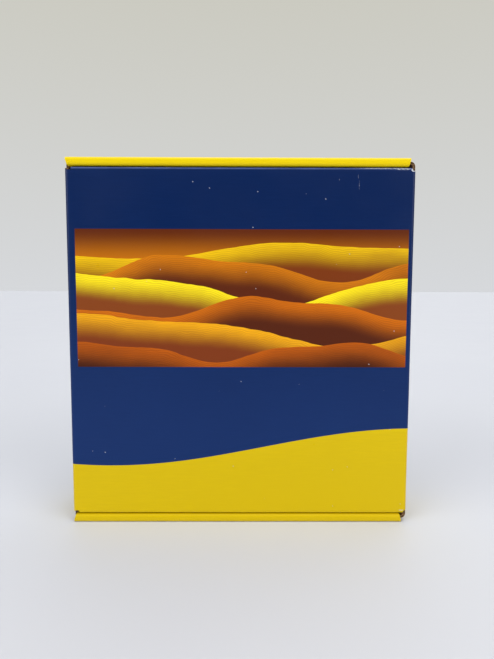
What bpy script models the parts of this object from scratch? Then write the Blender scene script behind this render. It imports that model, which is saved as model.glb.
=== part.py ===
"""A printed mailer carton of thin corrugated board that holds a capillary column on its wire cage.

Metres, +Z up. The printed front faces -Y and +X is to its right. The origin is the middle of the
bottom end wall, on which the carton stands. Tray and lid are one sheet on the real carton. Here each
is folded by itself, drawn by the printed side of its board and thickened inwards, and they meet in a
mitre along the lid's fold.
"""

import math

import bmesh
import bpy
from mathutils import Matrix, Vector

# Board and gaps
BOARD = 0.0016              # thickness of the corrugated board
TOUCH_GAP = 0.0003          # left between pieces that touch
FOLD_RADIUS = 0.0022        # printed side of a creased fold
REVERSE_RADIUS = 0.0006     # printed side of a fold that turns the other way
FOLD_STEPS = 4              # facets in a quarter turn

# Carton, outside
CARTON_WIDTH = 0.249        # left wall to right wall
CARTON_HEIGHT = 0.267       # bottom end wall to top end wall
CARTON_DEPTH = 0.057        # back panel to printed front

# Rolled end walls
SPINE_WIDTH = 0.0062        # three boards with their play
SPINE_SHORT = 0.0032        # the roll stops this far from the right wall's outside
TAB_RADIUS = 0.0035         # wide bend of the right wall's corner tabs
TAB_LENGTH = 0.055
TAB_SETBACK = 0.0024        # corner tabs start this far behind the printed front
HINGE_ARC = 67.5            # degrees of each half of the lid's fold, before its mitre is trimmed
CORNER_CUT = 0.0060         # rounded free corners of tabs and flaps
SLIT = 0.0005               # knife cut between neighbouring panels
LOCK_WIDTH = 0.030
LOCK_SPACING = 0.140        # between the middles of a roll's two lock tabs
LOCK_PLAY = 0.0005          # round a lock tab in its slot
LOCK_RECESS = 0.0002        # lock tabs end just under the back panel's outside

# Lid
LID_PLAY = 0.0007           # between the lid and a spine
HINGE_RELIEF = 0.0007       # a hinge or flap crease ends this far inside the fold's corner
FLAP_START = 0.0044         # first of a dust flap's crease, from the left side
FLAP_TAPER = 0.009
HORN = 0.0014               # the tuck crease's ends stand out by this much
TUCK_MARGIN = 0.0004        # kept between the tuck flap and the left wall as the lid swings
TUCK_TURN = 150             # degrees of the first of the tuck's two creases

# Print on the lid, from the bottom of the carton and from its middle line
BAND_BOTTOM = 0.1174
BAND_TOP = 0.2167
BAND_HALF_WIDTH = 0.1189
WAVE_COLUMNS = 12
WAVE_LOW = 0.0430           # lowest point of the yellow field's edge
WAVE_HIGH = 0.0716          # its height at the right side
WAVE_FOOT = 0.0996          # the lowest point lies this far left of the middle
WAVE_KICK = 0.1             # slope of the edge left of there

# Column and cage
CAGE_WIRE = 0.0026
WEB_RADIUS = 0.0830         # middle of the saddle wires that the winding lies on
SADDLE_RADIUS = 0.0890      # outer ends of the saddle wires
SADDLE_COUNT = 6
CAGE_DEPTH = 0.0346         # over the saddle wires
HOOP_INSET = 0.0030         # hoops lie this far inside the saddle wires' legs
HOOP_SINK = 0.0014          # hoops are welded this deep into the saddle wires
HOOP_SEGMENTS = 48
SADDLE_BEND = 0.0026        # middle of the wire where a saddle wire turns outwards
HANGER_DIP = 0.0100
HANGER_DIP_WIDTH = 0.034
HANGER_STEPS = 8            # straight runs along the dip
COIL_WIDTH = 0.0200
COIL_THICKNESS = 0.0020
COIL_ROWS = 10              # rounded rows across the winding
COIL_FLANK = 0.0006         # from a row's crest to its flank
COIL_GROOVE = 0.00036       # from a row's crest in to its flank
COIL_SEGMENTS = 72
SEAL_RADIUS = 0.0040
SEAL_LENGTH = 0.0090
SEAL_NOSE = 0.0013          # rounding of a seal's tip
SEAL_SEGMENTS = 20
SEAL_ANGLES = (62, 118)     # places of the end seals on the winding, in degrees from +X

# Insert
INSERT_FIT = 0.0004         # between the cage and the insert's round window
INSERT_SETBACK = 0.0010     # between the flaps' free ends and the insert
INSERT_RELIEF = 0.0040      # the insert's legs end this far from its corners
FINGER_RADIUS = 0.0140      # half-round finger cuts beside the window

AXES = {"X": Vector((1, 0, 0)), "Y": Vector((0, 1, 0)), "Z": Vector((0, 0, 1))}
half_width = CARTON_WIDTH / 2
half_height = CARTON_HEIGHT / 2
half_depth = CARTON_DEPTH / 2

# The cage stands on the back panel. Its front wires lie in the insert, and the flaps end in front of that
leg_y = (CAGE_DEPTH - CAGE_WIRE) / 2
cage_y = half_depth - BOARD - TOUCH_GAP - CAGE_DEPTH / 2
insert_front = cage_y - leg_y - BOARD / 2
flap_depth = insert_front + half_depth - INSERT_SETBACK


# Scene and materials
def clear_scene():
    for obj in list(bpy.data.objects):
        bpy.data.objects.remove(obj)


def new_collection(name):
    group = bpy.data.collections.new(name)
    bpy.context.scene.collection.children.link(group)
    return group


def surface(name, colour, roughness, metallic=0.0):
    """A Principled material."""
    mat = bpy.data.materials.new(name)
    mat.use_nodes = True
    shader = mat.node_tree.nodes["Principled BSDF"]
    shader.inputs["Base Color"].default_value = (*colour, 1)
    shader.inputs["Roughness"].default_value = roughness
    shader.inputs["Metallic"].default_value = metallic
    mat.diffuse_color = (*colour, 1)
    return mat


def new_object(name, bm, group, materials):
    """Closes a bmesh into an object at the height of the carton's middle."""
    mesh = bpy.data.meshes.new(name)
    bm.to_mesh(mesh)
    bm.free()
    obj = bpy.data.objects.new(name, mesh)
    for mat in materials:
        mesh.materials.append(mat)
    obj.location.z = half_height
    group.objects.link(obj)
    return obj


def thicken(obj, inner_slot):
    """Gives a sheet its board, inwards from the printed side."""
    wall = obj.modifiers.new("board", "SOLIDIFY")
    wall.thickness = BOARD
    wall.offset = -1
    wall.use_even_offset = True
    wall.use_quality_normals = True
    wall.material_offset = inner_slot
    wall.material_offset_rim = inner_slot


def cut(obj, cutter):
    saw = obj.modifiers.new(cutter.name, "BOOLEAN")
    saw.operation = "DIFFERENCE"
    saw.solver = "EXACT"
    saw.object = cutter


def as_cutter(obj):
    obj.hide_render = True
    obj.display_type = "WIRE"
    return obj


# Folding a sheet
def flat_panel(bm, x_range, z_range, y):
    """One upright panel between x and z limits, facing along Y."""
    centre = Vector((sum(x_range) / 2, y, sum(z_range) / 2))
    size = Matrix.Diagonal((x_range[1] - x_range[0], z_range[1] - z_range[0], 1, 1))
    place = Matrix.Translation(centre) @ Matrix.Rotation(math.radians(90), 4, "X") @ size
    bmesh.ops.create_grid(bm, x_segments=1, y_segments=1, size=0.5, matrix=place)


def score(bm, axis, places):
    """Draws a line across the sheet at each place along an axis."""
    for place in places:
        everything = bm.verts[:] + bm.edges[:] + bm.faces[:]
        line = AXES[axis] * place
        bmesh.ops.bisect_plane(bm, geom=everything, plane_co=line, plane_no=AXES[axis], dist=1e-7)


def inside(point, limits):
    """Whether a point lies within limits such as {"X": (low, high)}."""
    return all(low - 1e-6 <= point.dot(AXES[axis]) <= high + 1e-6 for axis, (low, high) in limits.items())


def punch_out(bm, **limits):
    waste = [face for face in bm.faces if inside(face.calc_center_median(), limits)]
    bmesh.ops.delete(bm, geom=waste, context="FACES")


def free_edges(bm, **limits):
    """The sheet's free edges within limits, such as a panel's rim before its next fold."""
    edges = [edge for edge in bm.edges if edge.is_boundary]
    return [edge for edge in edges if all(inside(vert.co, limits) for vert in edge.verts)]


def shift_ends(rim, along, ends):
    """Moves a rim's first and last points outwards along it, or inwards for a negative amount."""
    points = sorted({vert for edge in rim for vert in edge.verts}, key=lambda vert: vert.co.dot(along))
    points[0].co -= along * ends[0]
    points[-1].co += along * ends[1]


def reach(bm, rim, move, along, ends=(0, 0)):
    """Extends the sheet flat from a rim and returns the new rim."""
    grown = bmesh.ops.extrude_edge_only(bm, edges=rim)["geom"]
    verts = [item for item in grown if isinstance(item, bmesh.types.BMVert)]
    bmesh.ops.translate(bm, verts=verts, vec=Vector(move))
    fresh = set(verts)
    rim = [edge for edge in {edge for vert in verts for edge in vert.link_edges} if set(edge.verts) <= fresh]
    shift_ends(rim, AXES[along], ends)
    return rim


def fold(bm, rim, centre, along, degrees, ends=(0, 0)):
    """Bends the sheet about an axis through a centre and returns the new rim."""
    steps = max(1, round(abs(degrees) * FOLD_STEPS / 90))
    for _ in range(steps):
        verts = list({vert for edge in rim for vert in edge.verts})
        turned = bmesh.ops.spin(
            bm, geom=verts + rim, cent=centre, axis=AXES[along],
            angle=math.radians(degrees) / steps, steps=1, use_duplicate=False,
        )
        rim = [item for item in turned["geom_last"] if isinstance(item, bmesh.types.BMEdge)]
        shift_ends(rim, AXES[along], [end / steps for end in ends])
    return rim


def round_corners(bm, rim, along, radius):
    """Rounds the two free corners at the ends of a rim."""
    points = sorted({vert for edge in rim for vert in edge.verts}, key=lambda vert: vert.co.dot(AXES[along]))
    corners = [vert for vert in (points[0], points[-1]) if abs(vert.co.z) > 1e-6]
    bmesh.ops.bevel(
        bm, geom=corners, offset=radius, offset_type="OFFSET", segments=3,
        profile=0.5, affect="VERTICES", clamp_overlap=True,
    )


def face_outwards(bm, away_from):
    """Turns the printed side of a sheet away from a point."""
    bmesh.ops.recalc_face_normals(bm, faces=bm.faces[:])
    largest = max(bm.faces, key=lambda face: face.calc_area())
    if largest.normal.dot(largest.calc_center_median() - Vector(away_from)) < 0:
        bmesh.ops.reverse_faces(bm, faces=bm.faces[:])


# Tray: places that its folds share, measured from the carton's middle
fold_line = {"X": half_width - FOLD_RADIUS, "Y": half_depth - FOLD_RADIUS, "Z": half_height - FOLD_RADIUS}
play = (SPINE_WIDTH - 3 * BOARD) / 2
tab_level = half_height - BOARD - play
right_wall_top = tab_level - TAB_RADIUS
left_wall_top = tab_level - FOLD_RADIUS
lid_top = half_height - SPINE_WIDTH - LID_PLAY
hinge_top = lid_top - FOLD_RADIUS - HINGE_RELIEF
roll_left = -half_width
roll_right = half_width - SPINE_SHORT
mitre = BOARD + TOUCH_GAP
tuck_slack = BOARD + flap_depth ** 2 / (2 * CARTON_WIDTH) + TUCK_MARGIN


def tuck_path():
    """Where the tuck's creases put the board, from the carton's left side and printed front.

    Gives the first crease's end, the slanting strip's length and direction, the start of the flap
    and how far back the left wall's edge has to stay.
    """
    turn = math.radians(TUCK_TURN)
    slant = Vector((-math.cos(turn), math.sin(turn)))
    first_end = Vector((FOLD_RADIUS * (1 - math.sin(turn)), FOLD_RADIUS * (1 - math.cos(turn))))
    outward = Vector((-slant.y, slant.x))
    second = outward * REVERSE_RADIUS + Vector((REVERSE_RADIUS, 0))
    length = (tuck_slack - first_end.x - second.x) / slant.x
    flap_start = first_end + slant * length + second
    behind_wall = first_end.y + (BOARD - first_end.x) / slant.x * slant.y
    return first_end, length, slant, flap_start, behind_wall + TOUCH_GAP


def lock_edges():
    """The sides of a roll's two lock tabs."""
    middles = (-LOCK_SPACING / 2, LOCK_SPACING / 2)
    return [(middle - LOCK_WIDTH / 2, middle + LOCK_WIDTH / 2) for middle in middles]


def cut_slots(bm):
    """Opens the slots in the back panel that take the lock tabs."""
    inner = half_height - SPINE_WIDTH
    levels = (inner - LOCK_PLAY, inner + BOARD + LOCK_PLAY)
    score(bm, "Z", levels)
    for sides in lock_edges():
        punch_out(bm, X=sides, Z=levels)
        for side, push in zip(sides, (-LOCK_PLAY, LOCK_PLAY)):
            for vert in bm.verts:
                if inside(vert.co, {"X": (side, side), "Z": levels}):
                    vert.co.x += push


def back_panel(bm):
    """The upper half of the back, with the ears and steps at its corners."""
    flat_panel(bm, (roll_left, fold_line["X"]), (0, fold_line["Z"]), half_depth)
    score(bm, "X", [-fold_line["X"], roll_right] + [side for sides in lock_edges() for side in sides])
    score(bm, "Z", [right_wall_top, left_wall_top, left_wall_top + SLIT, hinge_top])
    punch_out(bm, X=(roll_left, -fold_line["X"]), Z=(0, left_wall_top + SLIT))
    punch_out(bm, X=(roll_right, half_width), Z=(right_wall_top, half_height))
    cut_slots(bm)


def side_wall(bm, side, top, front, tab_radius):
    """A side wall's upper half and the corner tab that goes between the layers of a roll."""
    edge = side * fold_line["X"]
    rim = free_edges(bm, X=(edge, edge), Z=(0, top))
    rim = fold(bm, rim, (edge, fold_line["Y"], 0), "Z", -90 * side)
    rim = reach(bm, rim, (0, front - fold_line["Y"], 0), "Z")
    root = free_edges(bm, X=(side * half_width,) * 2, Y=(front, fold_line["Y"]), Z=(top, top))
    bend = fold(bm, root, (side * (half_width - tab_radius), 0, top), "Y", -90 * side)
    tip = reach(bm, bend, (-side * TAB_LENGTH, 0, 0), "Y", (0, -CORNER_CUT / 2))
    round_corners(bm, tip, "Y", CORNER_CUT)
    return rim


def hinge_start(bm, rim):
    """The right wall's half of the lid's fold, left long for the mitre cut."""
    rim = [edge for edge in rim if all(vert.co.z < hinge_top + 1e-6 for vert in edge.verts)]
    start = half_depth - TAB_SETBACK
    rim = reach(bm, rim, (0, start - fold_line["Y"], 0), "Z")
    fold(bm, rim, (fold_line["X"], -fold_line["Y"], 0), "Z", -HINGE_ARC)


def end_wall(bm):
    """The upper end wall: outer panel, spine and inner panel rolled round, with its lock tabs."""
    rim = free_edges(bm, Z=(fold_line["Z"], fold_line["Z"]), X=(roll_left, roll_right))
    rim = fold(bm, rim, (0, fold_line["Y"], fold_line["Z"]), "X", 90)
    rim = reach(bm, rim, (0, -2 * fold_line["Y"], 0), "X")
    rim = fold(bm, rim, (0, -fold_line["Y"], fold_line["Z"]), "X", 90)
    rim = reach(bm, rim, (0, 0, 2 * FOLD_RADIUS - SPINE_WIDTH), "X", (-mitre, -mitre))
    rim = fold(bm, rim, (0, -fold_line["Y"], half_height - SPINE_WIDTH + FOLD_RADIUS), "X", 90)
    inner_end = half_depth - BOARD - LOCK_PLAY
    rim = reach(bm, rim, (0, inner_end + fold_line["Y"], 0), "X", (-mitre, -mitre))
    for sides in lock_edges():
        tab = [edge for edge in rim if all(inside(vert.co, {"X": sides}) for vert in edge.verts)]
        reach(bm, tab, (0, BOARD + LOCK_PLAY - LOCK_RECESS, 0), "X")


def mark_since(bm, count, slot):
    """Gives a material slot to the faces made since there were that many."""
    bm.faces.ensure_lookup_table()
    for face in bm.faces[count:]:
        face.material_index = slot


def make_tray(group, cutters, materials):
    bm = bmesh.new()
    back_panel(bm)
    side_wall(bm, -1, left_wall_top, tuck_path()[4] - half_depth, FOLD_RADIUS)
    rim = side_wall(bm, 1, right_wall_top, TAB_SETBACK - half_depth, TAB_RADIUS)
    hinge_start(bm, rim)
    walls = len(bm.faces)
    end_wall(bm)
    mark_since(bm, walls, 1)
    face_outwards(bm, (0, 0, 0))
    tray = new_object("tray", bm, group, materials)
    mirror_halves(tray)
    thicken(tray, len(materials) - 1)
    cut(tray, hinge_cutter("hinge_cutter_tray", cutters, 1))
    return tray


def mirror_halves(obj):
    """Adds the lower half, which mirrors the upper one."""
    other = obj.modifiers.new("lower_half", "MIRROR")
    other.use_axis = (False, False, True)
    other.use_mirror_merge = True
    other.merge_threshold = 1e-5


def hinge_cutter(name, group, lid_side):
    """A block along the mitre between tray and lid, which takes half of the gap from the piece it trims.

    lid_side is 1 for the block on the lid's side of the mitre, which trims the tray, and -1 for the other.
    """
    reach_in = 4 * FOLD_RADIUS
    width = 2 * FOLD_RADIUS
    bpy.ops.mesh.primitive_cube_add(size=1)
    block = bpy.context.object
    block.name = name
    for owner in block.users_collection:
        owner.objects.unlink(block)
    group.objects.link(block)
    block.scale = (reach_in, width, 2 * (hinge_top + HINGE_RELIEF))
    block.rotation_euler.z = math.radians(135)
    corner = Vector((half_width, -half_depth, half_height))
    inwards = Vector((-1, 1, 0)).normalized()
    lidwards = Vector((-1, -1, 0)).normalized() * lid_side
    block.location = corner + inwards * (reach_in / 2 - FOLD_RADIUS / 2) + lidwards * (width - TOUCH_GAP) / 2
    return as_cutter(block)


# Lid
def lid_panel(bm):
    """The upper half of the printed front."""
    flat_panel(bm, (-fold_line["X"], fold_line["X"]), (0, lid_top - FOLD_RADIUS), -half_depth)
    score(bm, "X", [FLAP_START - half_width])


def dust_flap(bm):
    top = lid_top - FOLD_RADIUS
    rim = free_edges(bm, X=(FLAP_START - half_width, half_width), Z=(top, top))
    rim = fold(bm, rim, (0, -fold_line["Y"], top), "X", -90, (0, -HINGE_RELIEF))
    rim = reach(bm, rim, (0, FLAP_TAPER, 0), "X", (-FLAP_TAPER, -FLAP_TAPER / 2))
    rim = reach(bm, rim, (0, flap_depth - FOLD_RADIUS - FLAP_TAPER, 0), "X")
    round_corners(bm, rim, "X", CORNER_CUT)


def tuck_flap(bm):
    """The left side's two creases and the flap behind the left wall."""
    first_end, length, slant, flap_start, _ = tuck_path()
    rim = free_edges(bm, X=(-fold_line["X"],) * 2, Z=(0, lid_top))
    centre = Vector((-fold_line["X"], -fold_line["Y"], 0))
    rim = fold(bm, rim, centre, "Z", -90, (0, HORN))
    rim = fold(bm, rim, centre, "Z", 90 - TUCK_TURN, (0, -2 * HORN))
    rim = reach(bm, rim, (slant.x * length, slant.y * length, 0), "Z", (0, -FLAP_START))
    second_centre = Vector((flap_start.x - REVERSE_RADIUS - half_width, flap_start.y - half_depth, 0))
    rim = fold(bm, rim, second_centre, "Z", TUCK_TURN - 90)
    rim = reach(bm, rim, (0, flap_depth - flap_start.y, 0), "Z", (0, -FLAP_TAPER))
    round_corners(bm, rim, "Z", CORNER_CUT)


def hinge_end(bm):
    """The lid's half of its fold with the right wall, left long for the mitre cut."""
    rim = free_edges(bm, X=(fold_line["X"],) * 2, Z=(0, lid_top))
    fold(bm, rim, (fold_line["X"], -fold_line["Y"], 0), "Z", HINGE_ARC, (0, -HINGE_RELIEF))


def wave_height(x):
    """The yellow field's upper edge: a shallow sweep that is lowest left of the middle."""
    if x < -WAVE_FOOT:
        return WAVE_LOW - WAVE_KICK * (x + WAVE_FOOT)
    rise = min((x + WAVE_FOOT) / (half_width + WAVE_FOOT), 1)
    return WAVE_LOW + (WAVE_HIGH - WAVE_LOW) * (1 - math.cos(math.pi * rise)) / 2


def print_fields(bm):
    """Draws the front's colour fields into the sheet: blue, the band and the yellow sweep below."""
    columns = [half_width * (2 * i / WAVE_COLUMNS - 1) for i in range(1, WAVE_COLUMNS)]
    level = (WAVE_LOW + WAVE_HIGH) / 2 - half_height
    band = (BAND_BOTTOM - half_height, BAND_TOP - half_height)
    score(bm, "X", columns + [-BAND_HALF_WIDTH, BAND_HALF_WIDTH])
    score(bm, "Z", [level, *band])
    for vert in bm.verts:
        if abs(vert.co.z - level) < 1e-6 and vert.co.y < -fold_line["Y"] - 1e-6:
            vert.co.z = wave_height(vert.co.x) - half_height
    for face in bm.faces:
        middle = face.calc_center_median()
        if inside(middle, {"X": (-BAND_HALF_WIDTH, BAND_HALF_WIDTH), "Y": (-half_depth,) * 2, "Z": band}):
            face.material_index = 1
        elif middle.z < wave_height(middle.x) - half_height:
            face.material_index = 2


def make_lid(group, cutters, materials):
    bm = bmesh.new()
    lid_panel(bm)
    dust_flap(bm)
    tuck_flap(bm)
    hinge_end(bm)
    bmesh.ops.mirror(bm, geom=bm.verts[:] + bm.edges[:] + bm.faces[:], merge_dist=1e-5, axis="Z")
    face_outwards(bm, (0, 0, 0))
    print_fields(bm)
    lid = new_object("lid", bm, group, materials)
    thicken(lid, len(materials) - 1)
    cut(lid, hinge_cutter("hinge_cutter_lid", cutters, -1))
    hinge = bpy.data.objects.new("lid_hinge", None)
    hinge.location = (half_width, -half_depth, half_height)
    group.objects.link(hinge)
    lid.parent = hinge
    lid.location = (-half_width, half_depth, 0)
    return lid


# Column
coil_inner = WEB_RADIUS + CAGE_WIRE / 2 + TOUCH_GAP
hoop_y = leg_y - HOOP_INSET
hoop_radius = WEB_RADIUS - HOOP_SINK


def wire(name, points, closed, group):
    """A round wire through points, as a mesh with closed ends."""
    curve = bpy.data.curves.new(name, "CURVE")
    curve.dimensions = "3D"
    curve.bevel_depth = CAGE_WIRE / 2
    curve.bevel_resolution = 1
    curve.use_fill_caps = not closed
    line = curve.splines.new("POLY")
    line.points.add(len(points) - 1)
    for point, place in zip(line.points, points):
        point.co = (*place, 1)
    line.use_cyclic_u = closed
    draft = bpy.data.objects.new(name + "_draft", curve)
    group.objects.link(draft)
    bpy.context.view_layer.update()
    mesh = bpy.data.meshes.new_from_object(draft.evaluated_get(bpy.context.evaluated_depsgraph_get()))
    bm = bmesh.new()
    bm.from_mesh(mesh)
    bmesh.ops.remove_doubles(bm, verts=bm.verts, dist=1e-6)
    bmesh.ops.recalc_face_normals(bm, faces=bm.faces)
    bpy.data.objects.remove(draft)
    return new_object(name, bm, group, [])


def on_circle(radius, degrees, y):
    angle = math.radians(degrees)
    return Vector((radius * math.cos(angle), y, radius * math.sin(angle)))


def hoop_points(side):
    turns = [360 * k / HOOP_SEGMENTS for k in range(HOOP_SEGMENTS)]
    return [on_circle(hoop_radius, turn, cage_y + side * hoop_y) for turn in turns]


def saddle_points(degrees):
    """One saddle wire: out over the winding's edge, in and across under it, and out again."""
    section = [(SADDLE_RADIUS, leg_y)]
    for turn in (0, 45, 90):
        angle = math.radians(turn)
        section.append((
            WEB_RADIUS + SADDLE_BEND * (1 - math.sin(angle)),
            leg_y - SADDLE_BEND * (1 - math.cos(angle)),
        ))
    section += [(radius, -y) for radius, y in reversed(section)]
    return [on_circle(radius, degrees, cage_y + y) for radius, y in section]


def hanger_points():
    """The wire across the front hoop, with a dip at its middle for the oven's hook."""
    y = cage_y - hoop_y
    places = [(-hoop_radius, 0)]
    for step in range(HANGER_STEPS + 1):
        share = step / HANGER_STEPS
        dip = HANGER_DIP * (1 - math.cos(math.tau * share)) / 2
        places.append(((share - 0.5) * HANGER_DIP_WIDTH, dip))
    places.append((hoop_radius, 0))
    return [Vector((x, y + dip, 0)) for x, dip in places]


def make_cage(group, cutters, materials):
    hoops = [wire(f"hoop_{i}", hoop_points(side), True, cutters) for i, side in enumerate((-1, 1))]
    saddles = [
        wire(f"saddle_{i}", saddle_points(360 * i / SADDLE_COUNT + 90), False, cutters)
        for i in range(SADDLE_COUNT)
    ]
    cage = wire("cage", hanger_points(), False, group)
    for mat in materials:
        cage.data.materials.append(mat)
    for piece in hoops + saddles:
        weld = cage.modifiers.new(piece.name, "BOOLEAN")
        weld.operation = "UNION"
        weld.solver = "EXACT"
        weld.object = as_cutter(piece)
    return cage


def make_coil(group, materials):
    """The winding: a turned ring whose outside shows rounded turns side by side."""
    bm = bmesh.new()
    pitch = COIL_WIDTH / COIL_ROWS
    start = cage_y - COIL_WIDTH / 2
    crest = coil_inner + COIL_THICKNESS
    groove = crest - COIL_GROOVE
    profile = [(coil_inner, start)]
    for row in range(COIL_ROWS):
        middle = start + pitch * (row + 0.5)
        profile += [(groove, middle - COIL_FLANK), (crest, middle), (groove, middle + COIL_FLANK)]
    profile.append((coil_inner, start + COIL_WIDTH))
    verts = [bm.verts.new((radius, y, 0)) for radius, y in profile]
    rim = [bm.edges.new(pair) for pair in zip(verts, verts[1:] + verts[:1])]
    bmesh.ops.spin(
        bm, geom=verts + rim, cent=(0, 0, 0), axis=AXES["Y"], angle=math.tau,
        steps=COIL_SEGMENTS, use_merge=True, use_duplicate=False,
    )
    bmesh.ops.recalc_face_normals(bm, faces=bm.faces)
    return new_object("coil", bm, group, materials)


def make_seal(name, degrees, group, materials):
    """A rubber stopper on an end of the capillary, lying against the inside of the winding."""
    bm = bmesh.new()
    bmesh.ops.create_cone(
        bm, cap_ends=True, segments=SEAL_SEGMENTS,
        radius1=SEAL_RADIUS, radius2=SEAL_RADIUS, depth=SEAL_LENGTH,
    )
    tip = [edge for edge in bm.edges if all(vert.co.z > 0 for vert in edge.verts)]
    bmesh.ops.bevel(bm, geom=tip, offset=SEAL_NOSE, segments=2, profile=0.5, affect="EDGES")
    centre = on_circle(coil_inner - TOUCH_GAP - SEAL_RADIUS, degrees, cage_y)
    along = Matrix.Rotation(math.radians(180 - degrees), 4, "Y")
    bmesh.ops.transform(bm, matrix=Matrix.Translation(centre) @ along, verts=bm.verts)
    return new_object(name, bm, group, materials)


# Insert
insert_half_x = half_width - BOARD - TOUCH_GAP
insert_half_z = half_height - SPINE_WIDTH - TOUCH_GAP


def leg(bm, along, across, side, half_long, half_across):
    """One folded side of the insert, down to the back panel."""
    edge = side * (half_across - FOLD_RADIUS)
    limit = half_long - FOLD_RADIUS - INSERT_RELIEF
    rim = free_edges(bm, **{across: (edge, edge), along: (-limit, limit)})
    centre = AXES[across] * edge + AXES["Y"] * (insert_front + FOLD_RADIUS)
    turn = 90 * side if along == "Z" else -90 * side
    rim = fold(bm, rim, centre, along, turn)
    depth = half_depth - BOARD - TOUCH_GAP - insert_front - FOLD_RADIUS
    reach(bm, rim, (0, depth, 0), along)


def window_cutter(name, radius, x, z, group):
    bm = bmesh.new()
    place = Matrix.Translation((x, insert_front + BOARD / 2, z)) @ Matrix.Rotation(math.radians(90), 4, "X")
    bmesh.ops.create_cone(
        bm, cap_ends=True, segments=COIL_SEGMENTS,
        radius1=radius, radius2=radius, depth=4 * BOARD, matrix=place,
    )
    return as_cutter(new_object(name, bm, group, []))


def make_insert(group, cutters, materials):
    bm = bmesh.new()
    flat_x = insert_half_x - FOLD_RADIUS
    flat_z = insert_half_z - FOLD_RADIUS
    flat_panel(bm, (-flat_x, flat_x), (-flat_z, flat_z), insert_front)
    score(bm, "X", [INSERT_RELIEF - flat_x, flat_x - INSERT_RELIEF])
    score(bm, "Z", [INSERT_RELIEF - flat_z, flat_z - INSERT_RELIEF])
    for side in (-1, 1):
        leg(bm, "Z", "X", side, insert_half_z, insert_half_x)
        leg(bm, "X", "Z", side, insert_half_x, insert_half_z)
    face_outwards(bm, (0, half_depth, 0))
    insert = new_object("insert", bm, group, materials)
    thicken(insert, 0)
    window = SADDLE_RADIUS + INSERT_FIT
    cut(insert, window_cutter("window", window, 0, 0, cutters))
    for side, name in ((-1, "finger_cut_left"), (1, "finger_cut_right")):
        cut(insert, window_cutter(name, FINGER_RADIUS, side * window, 0, cutters))
    return insert


def main():
    clear_scene()
    parts = new_collection("column_carton")
    cutters = new_collection("cutters")
    blue = surface("blue_print", (0.008, 0.023, 0.095), 0.35)
    band = surface("amber_band", (0.27, 0.08, 0.012), 0.35)
    yellow = surface("yellow_print", (0.70, 0.49, 0.002), 0.35)
    kraft = surface("kraft_liner", (0.42, 0.29, 0.17), 0.85)
    steel = surface("cage_wire", (0.55, 0.55, 0.56), 0.35, 1.0)
    silica = surface("amber_winding", (0.30, 0.10, 0.015), 0.25)
    rubber = surface("seal_rubber", (0.25, 0.03, 0.02), 0.7)
    make_tray(parts, cutters, [blue, yellow, kraft])
    make_lid(parts, cutters, [blue, band, yellow, kraft])
    make_insert(parts, cutters, [kraft])
    make_cage(parts, cutters, [steel])
    make_coil(parts, [silica])
    for number, degrees in enumerate(SEAL_ANGLES, 1):
        make_seal(f"end_seal_{number}", degrees, parts, [rubber])


main()
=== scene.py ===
import math

import bmesh
import bpy
from mathutils import Matrix, Vector, noise


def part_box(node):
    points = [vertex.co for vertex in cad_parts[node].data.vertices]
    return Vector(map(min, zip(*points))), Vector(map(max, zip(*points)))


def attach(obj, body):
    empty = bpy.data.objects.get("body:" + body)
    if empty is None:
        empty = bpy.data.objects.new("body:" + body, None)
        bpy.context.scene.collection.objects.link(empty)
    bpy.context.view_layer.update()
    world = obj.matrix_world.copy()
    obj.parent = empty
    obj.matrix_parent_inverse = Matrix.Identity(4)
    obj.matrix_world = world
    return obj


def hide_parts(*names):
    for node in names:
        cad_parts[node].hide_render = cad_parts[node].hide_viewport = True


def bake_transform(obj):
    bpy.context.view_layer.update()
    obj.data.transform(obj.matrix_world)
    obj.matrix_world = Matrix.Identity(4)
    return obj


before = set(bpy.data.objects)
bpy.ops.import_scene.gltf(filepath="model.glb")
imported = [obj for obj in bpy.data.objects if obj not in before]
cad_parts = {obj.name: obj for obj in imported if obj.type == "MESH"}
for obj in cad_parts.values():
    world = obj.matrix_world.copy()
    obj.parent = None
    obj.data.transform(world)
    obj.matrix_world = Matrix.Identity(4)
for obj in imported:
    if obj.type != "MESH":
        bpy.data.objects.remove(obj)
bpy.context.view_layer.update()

# What all sheets of the carton share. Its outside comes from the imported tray
trayLow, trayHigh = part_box("tray")
halfX = (trayHigh.x - trayLow.x) / 2
halfY = (trayHigh.y - trayLow.y) / 2
halfZ = (trayHigh.z - trayLow.z) / 2
carton = {
    "board": 0.0016,
    "fold": 0.0022,         # radius of a crease on the printed side
    "reverseFold": 0.0006,  # the same where the sheet turns the other way
    "foldSteps": 8,         # facets in a quarter turn
    "spine": 0.0062,        # width of a rolled end wall
    "slit": 0.0005,
    "touch": 0.0003,        # left between pieces that touch
    "lidPlay": 0.0007,
    "hingeRelief": 0.0007,
    "cornerCut": 0.006,     # rounded free corners of tabs and flaps
    "cornerSteps": 8,
    "cell": 0.0075,         # size of the sheets' mesh cells
    "sag": 0.00022,         # most that the board lies inside its true plane
    "sagSize": 0.055,
    "sagSeed": 3,
    "sharpest": 38,         # degrees between faces that are still shaded as one
}
creaseX = halfX - carton["fold"]
creaseY = halfY - carton["fold"]
creaseZ = halfZ - carton["fold"]
lidTop = halfZ - carton["spine"] - carton["lidPlay"]
hingeTop = lidTop - carton["fold"] - carton["hingeRelief"]
axes = {"X": Vector((1, 0, 0)), "Y": Vector((0, 1, 0)), "Z": Vector((0, 0, 1))}


# Camera and lights
view = {
    "place": (0.0031, -0.386, 0.1743),
    "down": 4.71,       # degrees, as are the next two
    "left": -0.27,
    "tilt": -0.15,
    "lens": 27.04,
    "nearest": 0.01,
}


def addObject(name, data):
    made = bpy.data.objects.new(name, data)
    bpy.context.scene.collection.objects.link(made)
    return made


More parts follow.
